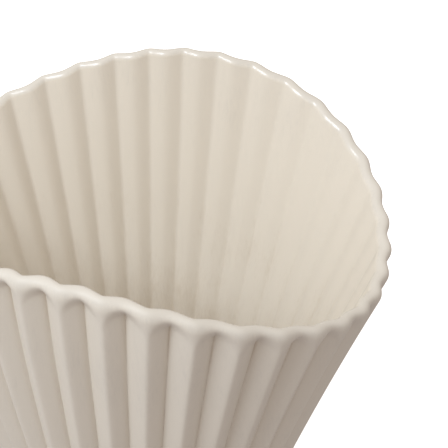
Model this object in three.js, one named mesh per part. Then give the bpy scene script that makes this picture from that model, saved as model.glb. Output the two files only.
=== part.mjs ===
// A fluted ceramic vase: a flaring ribbed wall with a waving lip, a floor slab, a foot ring and felt pads.
// Millimetres, +Z up. The origin is the centre of the foot, on the surface that the vase stands on.
// +X points along the long way of the mouth, to the lower of its two ends.
import * as THREE from "three";

// Felt pads under the foot ring
const PAD_COUNT = 4;
const PAD_DIAMETER = 8;
const PAD_THICKNESS = 1.5;
const PAD_EDGE = 0.4;
const PAD_MARGIN = 1;

// Foot ring, left unglazed, set back from the edge of the floor slab
const FOOT_RING_HEIGHT = 4;
const FOOT_RING_SETBACK = 4;
const FOOT_RING_CHAMFER = 0.8;

// Floor slab, whose plain edge shows as a band under the ribs
const FLOOR_THICKNESS = 7;
const FLOOR_EDGE_RADIUS = 2.5;

// Wall: the radius over the rib crests at its foot and at the mean height of the lip
const FOOT_RADIUS = 46;
const MOUTH_RADIUS = 100;
const LIP_HEIGHT = 204;
const WALL_THICKNESS = 4.5;

// Mouth: set over towards +X and pressed into an oval that is blunter at that end; the press slides the ribs
// round towards both ends, and fades out downwards
const MOUTH_OFFSET = 6;
const MOUTH_SQUEEZE = 11;
const MOUTH_BLUNTING = 3;
const RIB_SLIDE = 2.8;
const PRESS_FADE_POWER = 2.5;

// Lip: high on the two broad sides of the mouth, low at its two ends, and lowest at the +X end; its crown
// lies near the inner edge, and its outer shoulder reaches further down on a rib's crest than at a crease
const LIP_SWAY = 16.5;
const LIP_TILT = 6.6;
const LIP_CROWN_SHARE = 0.62;
const SHOULDER_AT_CREST = 5.2;
const SHOULDER_AT_CREASE = 3.4;
const INNER_SHOULDER = 2.1;

// Ribs: nearly flat-sided outside, with sharp creases between them that grow shallow under the lip, and a
// softer wave of the same pitch inside, which runs up into the lip and is partly filled at the +X end
const RIB_COUNT = 38;
const RIB_DEPTH_AT_MOUTH = 5;
const RIB_DEPTH_AT_FOOT = 1.4;
const RIB_CREST_ROUNDING = 0.12;
const INNER_WAVE_AT_MOUTH = 2.8;
const INNER_WAVE_AT_FOOT = 0.8;
const INNER_WAVE_ROUNDING = 0.6;
const INNER_WAVE_FILL = 0.6;
const LIP_SCALLOP = 2.2;
const SCALLOP_FADE_LENGTH = 8;

// Fineness of the facets
const STEPS_PER_RIB = 4;
const WALL_ROWS = 8;
const LIP_STEPS = 4;
const ROUND_STEPS = 72;
const PAD_STEPS = 24;
const EDGE_STEPS = 3;

// Levels, from the table up
const padTop = PAD_THICKNESS;
const footRingTop = padTop + FOOT_RING_HEIGHT;
const floorTop = footRingTop + FLOOR_THICKNESS;

// Radii under the wall
const floorRadius = FOOT_RADIUS - RIB_DEPTH_AT_FOOT;
const footRingOuter = floorRadius - FOOT_RING_SETBACK;
const footRingInner = footRingOuter - PAD_DIAMETER - 2 * PAD_MARGIN;
const padCircleRadius = (footRingOuter + footRingInner) / 2;

const glaze = { color: 0xe4ddd0, roughness: 0.28, metalness: 0 };
const bareStoneware = { color: 0xd9c9b2, roughness: 0.85, metalness: 0 };
const felt = { color: 0xb9b2a6, roughness: 1, metalness: 0 };

function part(name, geometry, finish) {
  const mesh = new THREE.Mesh(geometry, new THREE.MeshStandardMaterial(finish));
  mesh.name = name;
  return mesh;
}

// Share of the wall's height, 0 at its foot and 1 at the mean height of the lip
function heightShare(z) {
  return (z - floorTop) / (LIP_HEIGHT - floorTop);
}

// The place of a point of the wall, from its angle counted in even ribs, its depth under the rib crests
// and its height
function wallPoint(angle, depth, z) {
  const share = heightShare(z);
  const press = share ** PRESS_FADE_POWER;
  const round = FOOT_RADIUS + (MOUTH_RADIUS - FOOT_RADIUS) * share;
  const oval = press * (MOUTH_SQUEEZE * Math.cos(2 * angle) - MOUTH_BLUNTING * Math.cos(3 * angle));
  const turn = angle - (press * RIB_SLIDE * Math.sin(2 * angle)) / round;
  const radius = round + oval - depth;
  return [MOUTH_OFFSET * share + radius * Math.cos(turn), radius * Math.sin(turn), z];
}

// Height of the lip's top
function lipTop(angle) {
  return LIP_HEIGHT - LIP_SWAY * Math.cos(2 * angle) - LIP_TILT * Math.cos(angle);
}

// Depth below a rounded crest on a straight flank, 0 at the crest and 1 at the crease half a pitch away
function flank(share, rounding) {
  return (Math.hypot(share, rounding) - rounding) / (Math.hypot(1, rounding) - rounding);
}

// Share of the way from the nearest outside crest to its crease; a crest lies on +X
function shareToCrease(angle) {
  const pitches = (angle * RIB_COUNT) / (2 * Math.PI);
  return 2 * Math.abs(pitches - Math.round(pitches));
}

// Depth of the outside under the rib crests, for ribs of this depth
function outsideDepth(angle, ribDepth) {
  return ribDepth * flank(shareToCrease(angle), RIB_CREST_ROUNDING);
}

// Depth of the inside under the rib crests, at a height
function insideDepth(angle, z) {
  const waveDepth = INNER_WAVE_AT_FOOT + (INNER_WAVE_AT_MOUTH - INNER_WAVE_AT_FOOT) * heightShare(z);
  const open = 1 - INNER_WAVE_FILL * ((1 + Math.cos(angle)) / 2) ** 2;
  return WALL_THICKNESS + waveDepth * (1 - open * flank(1 - shareToCrease(angle), INNER_WAVE_ROUNDING));
}

// Points of one face of the wall from its foot up to a height, where depthAt gives the face's depth
function faceRows(angle, topZ, depthAt) {
  const points = [];
  for (let row = 0; row <= WALL_ROWS; row++) {
    const z = floorTop + ((topZ - floorTop) * row) / WALL_ROWS;
    points.push(wallPoint(angle, depthAt(z), z));
  }
  return points;
}

// The wall's closed section at one angle: up the outside, over the lip's crown, down the inside
function wallSection(angle) {
  const top = lipTop(angle);
  const outerShoulder = SHOULDER_AT_CREST + (SHOULDER_AT_CREASE - SHOULDER_AT_CREST) * shareToCrease(angle);
  const lipOutside = outsideDepth(angle, LIP_SCALLOP);
  const lipInside = insideDepth(angle, top - INNER_SHOULDER);
  const crown = lipOutside + LIP_CROWN_SHARE * (lipInside - lipOutside);
  const up = faceRows(angle, top - outerShoulder - SCALLOP_FADE_LENGTH, (z) => {
    const ribDepth = RIB_DEPTH_AT_FOOT + (RIB_DEPTH_AT_MOUTH - RIB_DEPTH_AT_FOOT) * heightShare(z);
    return outsideDepth(angle, ribDepth);
  });
  const down = faceRows(angle, top - INNER_SHOULDER, (z) => insideDepth(angle, z));
  const over = [];
  for (let step = 0; step < LIP_STEPS; step++) {
    const turn = (Math.PI * step) / LIP_STEPS;
    const outward = step < LIP_STEPS / 2;
    const shoulder = outward ? outerShoulder : INNER_SHOULDER;
    const face = outward ? lipOutside : lipInside;
    const depth = crown + (face - crown) * Math.abs(Math.cos(turn));
    over.push(wallPoint(angle, depth, top - shoulder + shoulder * Math.sin(turn)));
  }
  return [...up, ...over, ...down.reverse()];
}

// A ring-shaped body from closed sections of equal length set round the axis
function ringOfSections(sectionAt, count) {
  const positions = [];
  const index = [];
  const length = sectionAt(0).length;
  for (let column = 0; column < count; column++) {
    positions.push(...sectionAt((2 * Math.PI * column) / count).flat());
    const here = column * length;
    const next = ((column + 1) % count) * length;
    for (let point = 0; point < length; point++) {
      const after = (point + 1) % length;
      index.push(here + point, next + point, next + after);
      index.push(here + point, next + after, here + after);
    }
  }
  const geometry = new THREE.BufferGeometry();
  geometry.setAttribute("position", new THREE.Float32BufferAttribute(positions, 3));
  geometry.setIndex(index);
  geometry.computeVertexNormals();
  return geometry;
}

// A turned body about +Z from a profile of [radius, z] points
function turned(profile, steps) {
  const points = profile.map(([radius, z]) => new THREE.Vector2(radius, z));
  const geometry = new THREE.LatheGeometry(points, steps);
  geometry.rotateX(Math.PI / 2);
  return geometry;
}

// A quarter round as [radius, z] points, from pointing straight down to pointing straight out
function lowerEdge(radius, z, rounding) {
  const points = [];
  for (let step = 0; step <= EDGE_STEPS; step++) {
    const turn = (Math.PI / 2) * (step / EDGE_STEPS);
    points.push([radius - rounding + rounding * Math.sin(turn), z + rounding - rounding * Math.cos(turn)]);
  }
  return points;
}

function flutedWall() {
  return part("fluted_wall", ringOfSections(wallSection, RIB_COUNT * STEPS_PER_RIB), glaze);
}

function floorSlab() {
  const profile = [
    [0, footRingTop],
    ...lowerEdge(floorRadius, footRingTop, FLOOR_EDGE_RADIUS),
    [floorRadius, floorTop],
    [0, floorTop],
  ];
  return part("floor_slab", turned(profile, ROUND_STEPS), glaze);
}

function footRing() {
  const chamfer = FOOT_RING_CHAMFER;
  const profile = [
    [footRingInner + chamfer, padTop],
    [footRingOuter - chamfer, padTop],
    [footRingOuter, padTop + chamfer],
    [footRingOuter, footRingTop],
    [footRingInner, footRingTop],
    [footRingInner, padTop + chamfer],
    [footRingInner + chamfer, padTop],
  ];
  return part("foot_ring", turned(profile, ROUND_STEPS), bareStoneware);
}

function feltPad(number) {
  const radius = PAD_DIAMETER / 2;
  const profile = [
    [0, 0],
    [radius - PAD_EDGE, 0],
    [radius, PAD_EDGE],
    [radius, PAD_THICKNESS],
    [0, PAD_THICKNESS],
  ];
  const pad = part(`felt_pad_${number}`, turned(profile, PAD_STEPS), felt);
  const angle = (2 * Math.PI * (number - 0.5)) / PAD_COUNT;
  pad.position.set(padCircleRadius * Math.cos(angle), padCircleRadius * Math.sin(angle), 0);
  return pad;
}

const vase = new THREE.Group();
vase.add(flutedWall(), floorSlab(), footRing());
for (let number = 1; number <= PAD_COUNT; number++) {
  vase.add(feltPad(number));
}

export default vase;
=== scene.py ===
"""A fluted ceramic vase in cream glaze, from the pads up, in metres, in the frame of its CAD model."""

import math

import bpy
import numpy as np
from mathutils import Matrix, Vector


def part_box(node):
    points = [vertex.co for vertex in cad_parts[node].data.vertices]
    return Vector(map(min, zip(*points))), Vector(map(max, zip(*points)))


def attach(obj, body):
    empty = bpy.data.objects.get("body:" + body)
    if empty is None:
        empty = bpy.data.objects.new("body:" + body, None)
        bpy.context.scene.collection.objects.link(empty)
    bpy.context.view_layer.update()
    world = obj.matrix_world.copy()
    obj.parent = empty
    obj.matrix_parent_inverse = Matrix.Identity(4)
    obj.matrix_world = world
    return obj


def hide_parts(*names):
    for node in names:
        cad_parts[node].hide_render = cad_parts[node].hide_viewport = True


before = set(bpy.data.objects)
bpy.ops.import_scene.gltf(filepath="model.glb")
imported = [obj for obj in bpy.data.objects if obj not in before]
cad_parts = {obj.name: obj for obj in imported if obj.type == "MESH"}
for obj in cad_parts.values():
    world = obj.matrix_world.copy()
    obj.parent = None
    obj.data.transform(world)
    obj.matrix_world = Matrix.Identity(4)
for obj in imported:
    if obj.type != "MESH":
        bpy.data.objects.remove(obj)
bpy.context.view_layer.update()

# Felt pads
# Four discs die-cut from pressed wool felt, stuck under the foot ring to keep its sandy clay off the
# table. Felt has no weave: its fibres lie every way, and a cut edge is soft and a little ragged.
PAD_NODES = ["felt_pad_1", "felt_pad_2", "felt_pad_3", "felt_pad_4"]
PAD_EDGE = 0.0005
PAD_STEPS = 48
PAD_RAGGED = 0.00012
PAD_TUFTS = 11
PAD_TUFT_DRIFT = 2.1
PAD_DRIFT_WAVES = 3
PAD_DRIFT_BY_PLACE = 900
SHARP_ANGLE = math.radians(120)
FELT_CLUMPS_PER_METRE = 900
FELT_FIBRES_PER_METRE = 5200
FELT_FIBRE_STRETCH = (1, 1, 2.5)
FELT_FIBRE_SHARE = 0.6
FELT_TONES = (0.3, 0.72)
FELT_PALE = (0.52, 0.47, 0.40, 1)
FELT_DARK = (0.30, 0.27, 0.23, 1)


class Shade:
    """A socket of a node tree: sums, differences and products of sockets add Math nodes."""

    def __init__(self, tree, socket=None):
        self.tree = tree
        self.socket = socket

    def add(self, kind, settings, sockets, output=0):
        """A new node with its settings and its sockets' values or links, as one of its outputs, if any."""
        node = self.tree.nodes.new("ShaderNode" + kind)
        for name, value in settings.items():
            setattr(node, name, value)
        for name, value in sockets.items():
            if isinstance(value, Shade):
                self.tree.links.new(value.socket, node.inputs[name])
            else:
                node.inputs[name].default_value = value
        return Shade(self.tree, node.outputs[output] if node.outputs else None)

    def combine(self, operation, first, second):
        return self.add("Math", {"operation": operation}, {0: first, 1: second})

    def __add__(self, other):
        return self.combine("ADD", self, other)

    def __radd__(self, other):
        return self.combine("ADD", other, self)

    def __sub__(self, other):
        return self.combine("SUBTRACT", self, other)

    def __rsub__(self, other):
        return self.combine("SUBTRACT", other, self)

    def __mul__(self, other):
        return self.combine("MULTIPLY", self, other)

    def __rmul__(self, other):
        return self.combine("MULTIPLY", other, self)

    def ramp(self, low, high):
        """0 below low and 1 above high, with a smooth step between them."""
        sockets = {"Value": self, "From Min": low, "From Max": high}
        return self.add("MapRange", {"interpolation_type": "SMOOTHSTEP"}, sockets)

    def mix(self, first, second):
        """From one colour to another as this value goes from 0 to 1."""
        return self.add("Mix", {"data_type": "RGBA"}, {0: self, 6: first, 7: second}, 2)

    def stretched(self, scale):
        """A vector socket times a scale along each axis."""
        return self.add("VectorMath", {"operation": "MULTIPLY"}, {0: self, 1: scale})

    def noise(self, scale, detail, roughness):
        """Cloudy noise over a vector socket, scale to the metre."""
        sockets = {"Vector": self, "Scale": scale, "Detail": detail, "Roughness": roughness}
        return self.add("TexNoise", {}, sockets)


def new_finish(name):
    """A bare material, and its tree ready for nodes."""
    material = bpy.data.materials.new(name)
    material.use_nodes = True
    material.node_tree.nodes.clear()
    return material, Shade(material.node_tree)


def place_on_piece(shade):
    """The piece's own coordinates, in metres."""
    return shade.add("TexCoord", {}, {}, "Object")


def finish_with(shade, sockets):
    """Closes a finish: a Principled shader with these sockets, on the surface."""
    surface = shade.add("BsdfPrincipled", {}, sockets)
    shade.add("OutputMaterial", {}, {"Surface": surface})


def felt_finish():
    material, shade = new_finish("pressed_felt")
    place = place_on_piece(shade)
    clumps = place.noise(FELT_CLUMPS_PER_METRE, detail=3, roughness=0.6)
    fibres = place.stretched(FELT_FIBRE_STRETCH).noise(FELT_FIBRES_PER_METRE, detail=4, roughness=0.75)
    height = clumps * (1 - FELT_FIBRE_SHARE) + fibres * FELT_FIBRE_SHARE
    bump = shade.add("Bump", {}, {"Strength": 0.8, "Distance": 0.0002, "Height": height})
    finish_with(shade, {
        "Base Color": height.ramp(*FELT_TONES).mix(FELT_DARK, FELT_PALE),
        "Roughness": 1.0,
        "Sheen Weight": 0.35,
        "Normal": bump,
    })
    return material


def skin(name, rings, closed, finish):
    """A smooth mesh over rings of points about the axis, closed on itself or capped at both ends."""
    rings = np.asarray(rings, float)
    count, around = rings.shape[:2]
    index = np.arange(count * around).reshape(count, around)
    after = np.roll(index, -1, axis=1)
    last = count if closed else count - 1
    above = np.roll(index, -1, axis=0)[:last]
    above_after = np.roll(after, -1, axis=0)[:last]
    corners = np.stack([index[:last], after[:last], above_after, above], axis=-1)
    faces = corners.reshape(-1, 4).tolist()
    if not closed:
        faces.append(index[0][::-1].tolist())
        faces.append(index[-1].tolist())
    mesh = bpy.data.meshes.new(name)
    mesh.from_pydata(rings.reshape(-1, 3).tolist(), [], faces)
    mesh.polygons.foreach_set("use_smooth", [True] * len(faces))
    mesh.set_sharp_from_angle(angle=SHARP_ANGLE)
    mesh.materials.append(finish)
    piece = bpy.data.objects.new(name, mesh)
    bpy.context.scene.collection.objects.link(piece)
    return piece


def turned(profile, steps):
    """Rings of points round the z axis from a profile of (radius, z) points."""
    angles = np.linspace(0, 2 * math.pi, steps, endpoint=False)
    return [[(r * math.cos(a), r * math.sin(a), z) for a in angles] for r, z in profile]


def quarter_round(radius, z, rounding, first, last, steps=6):
    """Profile points of a rounded edge about (radius, z), between two directions in degrees."""
    turns = np.radians(np.linspace(first, last, steps))
    return [(radius + rounding * math.cos(t), z + rounding * math.sin(t)) for t in turns]


felt = felt_finish()
for node in PAD_NODES:
    low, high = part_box(node)
    middle = (low + high) / 2
    reach = (high.x - low.x) / 2
    profile = [(reach / 3, 0), (2 * reach / 3, 0)]
    profile += quarter_round(reach - PAD_EDGE, low.z + PAD_EDGE, PAD_EDGE, -90, 0)
    profile += [(reach, high.z - PAD_EDGE), (reach - PAD_EDGE / 2, high.z), (reach / 3, high.z)]
    rings = np.array(turned(profile, PAD_STEPS))
    angles = np.arctan2(rings[..., 1], rings[..., 0])
    drift = np.sin(PAD_DRIFT_WAVES * angles + PAD_DRIFT_BY_PLACE * middle.x)
    tufts = np.sin(PAD_TUFTS * angles + PAD_TUFT_DRIFT * drift)
    ragged = 1 - PAD_RAGGED / reach * (1 + tufts)
    rings[..., :2] *= ragged[..., None]
    rings[..., 0] += middle.x
    rings[..., 1] += middle.y
    pad = skin(node + "_disc", rings, False, felt)
    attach(pad, "root")
    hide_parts(node)

# Foot ring
# A coil of the vase's own stoneware, turned true when leather hard and wiped clean of glaze, so that it
# doesn't stick to the kiln shelf. The turning tool leaves fine rings, and the bare clay is sandy.
RING_EDGE = 0.0009
RING_STEPS = 144
RING_SOLE_STEPS = 40
RING_GROOVES = 5
RING_GROOVE_DEPTH = 0.00007
CLAY_GRAINS_PER_METRE = 2600
CLAY_CLOUDS_PER_METRE = 70
CLAY_SPECKS_PER_METRE = 420
CLAY_GRAIN_SHARE = 0.55
CLAY_TONES = (0.35, 0.65)
CLAY_SPECK_REACH = (0.06, 0.16)
CLAY_SPECK_STRENGTH = 0.6
CLAY_ROUGHNESS = 0.78
CLAY_ROUGHER_BY_GRAIN = 0.2
CLAY_PALE = (0.63, 0.53, 0.41, 1)
CLAY_DARK = (0.47, 0.37, 0.27, 1)
CLAY_SPECK = (0.20, 0.13, 0.09, 1)


def bare_stoneware_finish():
    material, shade = new_finish("bare_stoneware")
    place = place_on_piece(shade)
    grain = place.noise(CLAY_GRAINS_PER_METRE, detail=3, roughness=0.65)
    clouds = place.noise(CLAY_CLOUDS_PER_METRE, detail=2, roughness=0.5)
    cells = shade.add("TexVoronoi", {}, {"Vector": place, "Scale": CLAY_SPECKS_PER_METRE})
    specks = (1 - cells.ramp(*CLAY_SPECK_REACH)) * CLAY_SPECK_STRENGTH
    tone = grain * CLAY_GRAIN_SHARE + clouds * (1 - CLAY_GRAIN_SHARE)
    clay = tone.ramp(*CLAY_TONES).mix(CLAY_DARK, CLAY_PALE)
    bump = shade.add("Bump", {}, {"Strength": 0.5, "Distance": 0.0002, "Height": grain})
    finish_with(shade, {
        "Base Color": specks.mix(clay, CLAY_SPECK),
        "Roughness": CLAY_ROUGHNESS + grain * CLAY_ROUGHER_BY_GRAIN,
        "Normal": bump,
    })
    return material


ring_low, ring_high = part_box("foot_ring")
pad_low, pad_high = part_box(PAD_NODES[0])
ring_outer = ring_high.x
pad_reach = math.hypot(*((pad_low + pad_high) / 2).xy)
ring_inner = 2 * pad_reach - ring_outer
sole_start = ring_inner + RING_EDGE
sole_width = ring_outer - ring_inner - 2 * RING_EDGE
ring_sole = []
for step in range(1, RING_SOLE_STEPS):
    share = step / RING_SOLE_STEPS
    groove = RING_GROOVE_DEPTH * (1 - math.cos(2 * math.pi * RING_GROOVES * share))
    ring_sole.append((sole_start + sole_width * share, ring_low.z + groove))
ring_profile = quarter_round(ring_inner + RING_EDGE, ring_low.z + RING_EDGE, RING_EDGE, 180, 270)
ring_profile += ring_sole
ring_profile += quarter_round(ring_outer - RING_EDGE, ring_low.z + RING_EDGE, RING_EDGE, -90, 0)
ring_profile += [(ring_outer, ring_high.z), (ring_inner, ring_high.z)]
foot_ring = skin("foot_ring_turned", turned(ring_profile, RING_STEPS), True, bare_stoneware_finish())
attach(foot_ring, "root")
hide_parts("foot_ring")

# Floor slab
# A disc of stoneware luted under the wall to close the foot, with a rounded lower edge, and dipped with
# the wall in a cream satin glaze, which runs thin on edges and lies a little thicker in every hollow.
# Its colour also darkens the outer creases just under the lip as painted shade.
SLAB_EDGE = 0.0025
SLAB_EDGE_STEPS = 8
SLAB_UPPER_EDGE = 0.0005
SLAB_UNDERSIDE_STEPS = 12
SLAB_STEPS = 152
SLAB_DISH = 0.0004
SLAB_DISH_RADIUS = 0.029
SLAB_DISH_STEPS = 16
SLAB_OUTSIDE_POOL = 0.45
FLOOR_POOL = 1.0
GLAZE_CLOUDS_PER_METRE = 28
GLAZE_RUNS_PER_METRE = 420
GLAZE_STROKES_PER_METRE = 1300
GLAZE_PEEL_PER_METRE = 330
GLAZE_SPECKS_PER_METRE = 75
RUN_STRETCH = (1, 1, 0.06)
STROKE_STRETCH = (1, 1, 0.04)
THICKER_BY_POOL = 0.75
THICKER_BY_CLOUDS = 0.55
THICKER_BY_RUNS = 0.3
THICKER_BY_STROKES = 0.35
THIN_TO_EVEN = (-0.45, 0.05)
EVEN_TO_POOLED = (0.25, 0.95)
GLAZE_SPECK_REACH = (0.015, 0.04)
GLAZE_SPECK_CHANCE = (0.94, 0.95)
GLAZE_SPECK_STRENGTH = 0.35
GLAZE_RUN_RELIEF = 0.35
GLAZE_ROUGHNESS = 0.50
GLAZE_ROUGHER_BY_CLOUDS = 0.10
GLAZE_SMOOTHER_BY_GLOSS = 0.12
GLAZE_COAT_BY_GLOSS = 0.6
NOISE_MIDDLE = 0.5
GLAZE_CREAM = (0.700, 0.640, 0.545, 1)
# Painted light: the inside's cream is lighter than the outside's, standing in for light reaching into the
# mouth.
GLAZE_INSIDE_PAINTED_LIGHTER = (0.717, 0.656, 0.561, 1)
GLAZE_THIN = (0.610, 0.563, 0.490, 1)
GLAZE_POOLED_AND_SHADE = (0.565, 0.482, 0.375, 1)
GLAZE_SPECK = (0.30, 0.21, 0.13, 1)


def cream_glaze_finish():
    material, shade = new_finish("cream_glaze")
    place = place_on_piece(shade)
    pooled = shade.add("Attribute", {"attribute_name": "pooled"}, {}, "Fac")
    gloss = shade.add("Attribute", {"attribute_name": "gloss"}, {}, "Fac")
    clouds = place.noise(GLAZE_CLOUDS_PER_METRE, detail=3, roughness=0.55)
    runs = place.stretched(RUN_STRETCH).noise(GLAZE_RUNS_PER_METRE, detail=3, roughness=0.6)
    strokes = place.stretched(STROKE_STRETCH).noise(GLAZE_STROKES_PER_METRE, detail=2, roughness=0.6)
    peel = place.noise(GLAZE_PEEL_PER_METRE, detail=2, roughness=0.5)
    speck_cells = {"Vector": place, "Scale": GLAZE_SPECKS_PER_METRE}
    cells = shade.add("TexVoronoi", {}, speck_cells)
    picked = shade.add("TexVoronoi", {}, speck_cells, "Color")
    chance = shade.add("SeparateColor", {}, {"Color": picked}).ramp(*GLAZE_SPECK_CHANCE)
    specks = (1 - cells.ramp(*GLAZE_SPECK_REACH)) * chance * GLAZE_SPECK_STRENGTH
    # The thickness also carries painted shade: the outer creases are darkened most just under the lip.
    thickness_and_painted_shade = pooled * THICKER_BY_POOL
    thickness_and_painted_shade = thickness_and_painted_shade + (clouds - NOISE_MIDDLE) * THICKER_BY_CLOUDS
    thickness_and_painted_shade = thickness_and_painted_shade + (runs - NOISE_MIDDLE) * THICKER_BY_RUNS
    thickness_and_painted_shade = thickness_and_painted_shade + (strokes - NOISE_MIDDLE) * THICKER_BY_STROKES
    # Painted light: where the glaze is glossy, inside and on the slab's floor, its cream is painted
    # lighter.
    even = gloss.mix(GLAZE_CREAM, GLAZE_INSIDE_PAINTED_LIGHTER)
    thin_to_even = thickness_and_painted_shade.ramp(*THIN_TO_EVEN).mix(GLAZE_THIN, even)
    glaze = thickness_and_painted_shade.ramp(*EVEN_TO_POOLED).mix(thin_to_even, GLAZE_POOLED_AND_SHADE)
    height = peel + runs * GLAZE_RUN_RELIEF
    bump = shade.add("Bump", {}, {"Strength": 0.22, "Distance": 0.0003, "Height": height})
    finish_with(shade, {
        "Base Color": specks.mix(glaze, GLAZE_SPECK),
        "Roughness": GLAZE_ROUGHNESS + clouds * GLAZE_ROUGHER_BY_CLOUDS - gloss * GLAZE_SMOOTHER_BY_GLOSS,
        "Coat Weight": gloss * GLAZE_COAT_BY_GLOSS,
        "Coat Roughness": 0.13,
        "Normal": bump,
    })
    return material


def set_over_surface(piece, name, values):
    """A value at each vertex for the glaze: how thick it lies, painted shade included, or how glossy it
    fired, which also selects the painted lighter inside cream.
    """
    attribute = piece.data.attributes.new(name, "FLOAT", "POINT")
    attribute.data.foreach_set("value", np.asarray(values, np.float32).ravel())


glaze = cream_glaze_finish()
slab_low, slab_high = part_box("floor_slab")
slab_radius = slab_high.x
slab_profile = []
for step in range(1, SLAB_UNDERSIDE_STEPS - 1):
    slab_profile.append((slab_radius * step / SLAB_UNDERSIDE_STEPS, slab_low.z))
edge_middle = (slab_radius - SLAB_EDGE, slab_low.z + SLAB_EDGE)
slab_profile += quarter_round(*edge_middle, SLAB_EDGE, -90, 0, SLAB_EDGE_STEPS)
slab_profile.append((slab_radius, slab_high.z - SLAB_UPPER_EDGE))
slab_profile.append((slab_radius - SLAB_UPPER_EDGE, slab_high.z))
slab_dish = []
for step in range(SLAB_DISH_STEPS, 0, -1):
    share = step / SLAB_DISH_STEPS
    slab_dish.append((SLAB_DISH_RADIUS * share, slab_high.z - SLAB_DISH * (1 - share ** 2)))
slab_pooled = [SLAB_OUTSIDE_POOL] * len(slab_profile) + [FLOOR_POOL] * len(slab_dish)
slab_gloss = [0.0] * len(slab_profile) + [1.0] * len(slab_dish)
slab_profile += slab_dish
floor_slab = skin("floor_slab_glazed", turned(slab_profile, SLAB_STEPS), False, glaze)
set_over_surface(floor_slab, "pooled", np.repeat(slab_pooled, SLAB_STEPS))
set_over_surface(floor_slab, "gloss", np.repeat(slab_gloss, SLAB_STEPS))
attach(floor_slab, "root")
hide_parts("floor_slab")

# Fluted wall
# The body of the vase: stoneware pressed in a ribbed mould, then eased by hand into an oval whose lip is
# wiped round. Outside, flat-sided ribs meet in sharp creases; inside they show as a softer wave.
RIB_COUNT = 38
FOOT_RADIUS = 0.046
MOUTH_RADIUS = 0.100
LIP_HEIGHT = 0.204
WALL_THICKNESS = 0.0045
MOUTH_OFFSET = 0.006
MOUTH_SQUEEZE = 0.011
MOUTH_BLUNTING = 0.003
RIB_SLIDE = 0.0028
PRESS_FADE_POWER = 2.5
LIP_SWAY = 0.0165
LIP_TILT = 0.0066
LIP_CROWN_SHARE = 0.62
LIP_SCALLOP = 0.0022
SHOULDER_AT_CREST = 0.0048
SHOULDER_AT_CREASE = 0.0026
INNER_SHOULDER = 0.0021
RIB_DEPTH_AT_MOUTH = 0.0050
RIB_DEPTH_AT_FOOT = 0.0014
RIB_END_LENGTH = 0.004
RIB_TOP_ARCH = 0.006
RIB_TOP_SHARPNESS = 3
SCALLOP_FADE_LENGTH = 0.006
CREST_ROUNDING = 0.12
CREASE_ROUNDING = 0.05
GROOVE_DEPTH = 0.0005
GROOVE_SHARE = 0.16
INNER_WAVE_AT_MOUTH = 0.0028
INNER_WAVE_AT_FOOT = 0.0008
INNER_WAVE_FILL = 0.6
INNER_CREST_ROUNDING = 0.6
INNER_CREASE_AT_NARROW_END = 0.12
INNER_CREASE_AT_BLUNT_END = 0.5
COVE_RADIUS = 0.010
CREASE_POOL = 0.7
# Painted shade: the outer creases are darkened further just under the lip, where its overhang shades them.
PAINTED_SHADE_UNDER_LIP = 0.45
CREASE_POOL_SHARPNESS = 9
UNDER_LIP_SHADE_REACH = 0.045
INNER_HOLLOW_POOL = 0.2
INNER_HOLLOW_SHARPNESS = 4
LIP_THINNING = 0.7
HALF_RIB_SHARES = (0, 0.1, 0.22, 0.36, 0.52, 0.68, 0.82, 0.90, 0.96)
WALL_ROWS = 40
ROW_CROWDING = 0.8
FADE_ROWS = 12
LIP_STEPS = 17
COVE_STEPS = 8

floor_top = slab_high.z


def smooth_step(share):
    """0 below 0 and 1 above 1, with a smooth step between them."""
    share = np.clip(share, 0, 1)
    return share * share * (3 - 2 * share)


def height_share(z):
    """0 at the wall's foot and 1 at the mean height of the lip."""
    return np.maximum(z - floor_top, 0) / (LIP_HEIGHT - floor_top)


def wall_points(angle, depth, z):
    """Points of the wall at angles counted in even ribs, at depths under the rib crests and at heights."""
    share = height_share(z)
    press = share ** PRESS_FADE_POWER
    round_radius = FOOT_RADIUS + (MOUTH_RADIUS - FOOT_RADIUS) * share
    oval = press * (MOUTH_SQUEEZE * np.cos(2 * angle) - MOUTH_BLUNTING * np.cos(3 * angle))
    turn = angle - press * RIB_SLIDE * np.sin(2 * angle) / round_radius
    radius = round_radius + oval - depth
    return np.stack([MOUTH_OFFSET * share + radius * np.cos(turn), radius * np.sin(turn), z], axis=-1)


def lip_top(angle):
    """Height of the lip's top: high on the two broad sides of the mouth and low at its two ends."""
    return LIP_HEIGHT - LIP_SWAY * np.cos(2 * angle) - LIP_TILT * np.cos(angle)


def flank(share, crest, crease):
    """Depth below a rounded crest, 0 there and about 1 at the crease, which is slightly filled."""
    def straight(s):
        return (np.hypot(s, crest) - crest) / (math.hypot(1, crest) - crest)
    here = straight(share)
    beyond = straight(2 - share)
    return (here + beyond - np.hypot(here - beyond, crease)) / 2


def scallop(share):
    """The lip's smooth wave, 0 over a rib's crest and 1 over the crease beside it."""
    return (1 - np.cos(math.pi * share)) / 2


def outer_shoulder(to_crease):
    """Height of the lip's rounding outside, where the crests are rubbed down more than the creases."""
    return SHOULDER_AT_CREST + (SHOULDER_AT_CREASE - SHOULDER_AT_CREST) * scallop(to_crease)


def rib_top(to_crease):
    """How far under the lip's top the flutes end: in an arch that is highest beside the crease."""
    return SHOULDER_AT_CREASE + RIB_TOP_ARCH * (1 - to_crease) ** RIB_TOP_SHARPNESS


def outside_depth(angle, z, to_crease):
    """Depth of the outside under the rib crests: ribs that grow out of the foot and soften at the lip."""
    below_lip = lip_top(angle) - rib_top(to_crease) - z
    fade = smooth_step(below_lip / SCALLOP_FADE_LENGTH)
    rib_depth = RIB_DEPTH_AT_FOOT + (RIB_DEPTH_AT_MOUTH - RIB_DEPTH_AT_FOOT) * height_share(z)
    groove = GROOVE_DEPTH * np.maximum(1 - (1 - to_crease) / GROOVE_SHARE, 0)
    ribbed = rib_depth * flank(to_crease, CREST_ROUNDING, CREASE_ROUNDING) + groove
    softened = LIP_SCALLOP * scallop(to_crease)
    depth = softened + (ribbed - softened) * fade
    return rib_depth + (depth - rib_depth) * np.sqrt(smooth_step((z - floor_top) / RIB_END_LENGTH))


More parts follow.
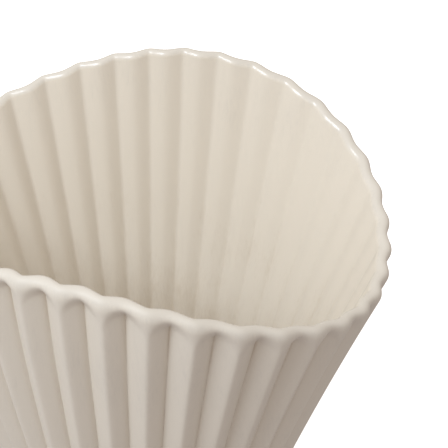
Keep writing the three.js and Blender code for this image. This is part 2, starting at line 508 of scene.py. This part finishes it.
def inside_depth(angle, z, to_crease):
    """Depth of the inside under the rib crests: a wave that is partly filled at the mouth's blunt end."""
    wave_depth = INNER_WAVE_AT_FOOT + (INNER_WAVE_AT_MOUTH - INNER_WAVE_AT_FOOT) * height_share(z)
    blunt_end = (1 + np.cos(angle)) / 2
    open_share = 1 - INNER_WAVE_FILL * blunt_end ** 2
    crease = INNER_CREASE_AT_NARROW_END
    crease += (INNER_CREASE_AT_BLUNT_END - INNER_CREASE_AT_NARROW_END) * blunt_end
    wave = flank(1 - to_crease, INNER_CREST_ROUNDING, crease)
    return WALL_THICKNESS + wave_depth * (1 - open_share * wave)


half_rib = np.array(HALF_RIB_SHARES)
rib_shares = np.concatenate([half_rib, [1], 2 - half_rib[:0:-1]])
to_crease = np.tile(1 - np.abs(1 - rib_shares), RIB_COUNT)
ribs_round = np.arange(RIB_COUNT)[:, None] + rib_shares[None, :] / 2
wall_angles = (ribs_round * 2 * math.pi / RIB_COUNT).ravel()
lip_tops = lip_top(wall_angles)
lip_start = lip_tops - outer_shoulder(to_crease)
inner_lip_start = lip_tops - INNER_SHOULDER
fade_start = lip_tops - rib_top(to_crease) - SCALLOP_FADE_LENGTH
inner_fade_start = inner_lip_start - SCALLOP_FADE_LENGTH
cove_top = floor_top + COVE_RADIUS
row_shares = np.linspace(0, 1, WALL_ROWS) ** ROW_CROWDING
fade_shares = np.linspace(0, 1, FADE_ROWS)[1:]
hollow_pooled = INNER_HOLLOW_POOL * (1 - to_crease) ** INNER_HOLLOW_SHARPNESS


def crease_pool_and_painted_shade(z):
    """How thick the glaze lies in the outer creases at a height, with painted shade added just under the
    lip.
    """
    shade_under_lip = smooth_step(1 - (lip_tops - z) / UNDER_LIP_SHADE_REACH)
    pool = CREASE_POOL + PAINTED_SHADE_UNDER_LIP * shade_under_lip
    return pool * to_crease ** CREASE_POOL_SHARPNESS


def run_down(z):
    """How much of the glaze inside has run down and pooled at a height."""
    return FLOOR_POOL * np.maximum(1 - height_share(z), 0)


wall_rings = []
wall_pooled_and_shade = []
wall_gloss = []


def add_ring(depth, z, pooled, gloss):
    """One ring of the wall's surface, with how thick the glaze lies on it, painted shade included, and how
    glossy it is.
    """
    wall_rings.append(wall_points(wall_angles, depth, z))
    wall_pooled_and_shade.append(np.broadcast_to(pooled, wall_angles.shape))
    wall_gloss.append(np.full(wall_angles.shape, gloss))


# Up the outside
for share in row_shares:
    z = floor_top + (fade_start - floor_top) * share
    # The outer creases carry pooled glaze plus painted shade, strongest just under the lip.
    add_ring(outside_depth(wall_angles, z, to_crease), z, crease_pool_and_painted_shade(z), 0.0)
for share in fade_shares:
    z = fade_start + (lip_start - fade_start) * share
    add_ring(outside_depth(wall_angles, z, to_crease), z, crease_pool_and_painted_shade(z) * (1 - share), 0.0)

# Over the lip, which turns glossy past its crown
lip_outside = outside_depth(wall_angles, lip_start, to_crease)
lip_inside = inside_depth(wall_angles, inner_lip_start, to_crease)
lip_crown = lip_outside + LIP_CROWN_SHARE * (lip_inside - lip_outside)
for turn in np.linspace(0, math.pi, LIP_STEPS)[1:-1]:
    outward = turn < math.pi / 2
    start = lip_start if outward else inner_lip_start
    reach = lip_crown - lip_outside if outward else lip_inside - lip_crown
    z = start + (lip_tops - start) * math.sin(turn)
    # The gloss also brings in the painted lighter inside cream past the lip's crown.
    gloss = smooth_step(4 * turn / math.pi - 2)
    add_ring(lip_crown - reach * math.cos(turn), z, -LIP_THINNING * math.sin(turn), gloss)

# Down the inside and round the cove to the floor
for share in fade_shares[::-1]:
    z = inner_fade_start + SCALLOP_FADE_LENGTH * share
    add_ring(inside_depth(wall_angles, z, to_crease), z, hollow_pooled * (1 - share) + run_down(z), 1.0)
for share in row_shares[::-1]:
    z = cove_top + (inner_fade_start - cove_top) * share
    add_ring(inside_depth(wall_angles, z, to_crease), z, hollow_pooled + run_down(z), 1.0)
cove_edge = inside_depth(wall_angles, np.full(wall_angles.shape, cove_top), to_crease)
for turn in np.linspace(0, math.pi / 2, COVE_STEPS)[1:]:
    z = np.full(wall_angles.shape, cove_top - COVE_RADIUS * math.sin(turn))
    add_ring(cove_edge + COVE_RADIUS * (1 - math.cos(turn)), z, run_down(z), 1.0)

fluted_wall = skin("fluted_wall_glazed", wall_rings, True, glaze)
set_over_surface(fluted_wall, "pooled", wall_pooled_and_shade)
set_over_surface(fluted_wall, "gloss", wall_gloss)
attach(fluted_wall, "root")
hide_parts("fluted_wall")

# Studio
# A plain white table in a pale room, under one soft box above the left shoulder of the camera,
# and a camera that looks down into the mouth from in front of one broad side.
TABLE_HALF = 4.0
TABLE_CORNERS = ((-1, -1), (1, -1), (1, 1), (-1, 1))
TABLE_WHITE = (0.90, 0.90, 0.90, 1)
TABLE_GLOW = 0.7
ROOM_ABOVE = (0.835, 0.793, 0.758, 1)
ROOM_BELOW = (0.395, 0.360, 0.370, 1)
ROOM_HORIZON = (-0.5, 0.5)
KEY_COLOUR = (1.0, 1.10, 1.215)
KEY_DIRECTION = (-0.375, -0.600, 0.707)
KEY_DISTANCE = 1.5
KEY_SIZE = 0.7
KEY_POWER = 13.5
CAMERA_PLACE = (0.1400, -0.4543, 0.5225)
CAMERA_HEADING = 12.823
CAMERA_PITCH = 35.309
CAMERA_LENS = 115.94
CAMERA_SENSOR = 36
CAMERA_NEAREST = 0.01

table_finish, table_shade = new_finish("white_table")
finish_with(table_shade, {
    "Base Color": TABLE_WHITE,
    "Roughness": 0.9,
    "Emission Color": TABLE_WHITE,
    "Emission Strength": TABLE_GLOW,
})
table_mesh = bpy.data.meshes.new("table")
table_corners = [(TABLE_HALF * x, TABLE_HALF * y, 0) for x, y in TABLE_CORNERS]
table_mesh.from_pydata(table_corners, [], [(0, 1, 2, 3)])
table_mesh.materials.append(table_finish)
table = bpy.data.objects.new("table", table_mesh)
# The table sends no light onto the vase: the lower half of the room does that for it.
table.visible_diffuse = False
table.visible_glossy = False
bpy.context.scene.collection.objects.link(table)

world = bpy.data.worlds.new("pale_room")
world.use_nodes = True
room = Shade(world.node_tree)
direction = room.add("TexCoord", {}, {}, "Generated")
upward = room.add("SeparateXYZ", {}, {"Vector": direction}, "Z")
room_colour = upward.ramp(*ROOM_HORIZON).mix(ROOM_BELOW, ROOM_ABOVE)
background = world.node_tree.nodes["Background"]
world.node_tree.links.new(room_colour.socket, background.inputs["Color"])
bpy.context.scene.world = world

mouth_middle = Vector((0, 0, LIP_HEIGHT))
key_light = bpy.data.lights.new("soft_box", "AREA")
key_light.shape = "SQUARE"
key_light.size = KEY_SIZE
key_light.energy = KEY_POWER
key_light.color = KEY_COLOUR
key = bpy.data.objects.new("soft_box", key_light)
key.location = mouth_middle + Vector(KEY_DIRECTION).normalized() * KEY_DISTANCE
key.rotation_euler = (mouth_middle - key.location).to_track_quat("-Z", "Y").to_euler()
bpy.context.scene.collection.objects.link(key)

camera_data = bpy.data.cameras.new("camera")
camera_data.lens = CAMERA_LENS
camera_data.sensor_width = CAMERA_SENSOR
camera_data.clip_start = CAMERA_NEAREST
camera = bpy.data.objects.new("camera", camera_data)
camera.matrix_world = (
    Matrix.Translation(CAMERA_PLACE)
    @ Matrix.Rotation(math.radians(CAMERA_HEADING), 4, "Z")
    @ Matrix.Rotation(math.radians(90 - CAMERA_PITCH), 4, "X")
)
bpy.context.scene.collection.objects.link(camera)
bpy.context.scene.camera = camera
bpy.context.scene.view_settings.view_transform = "Standard"
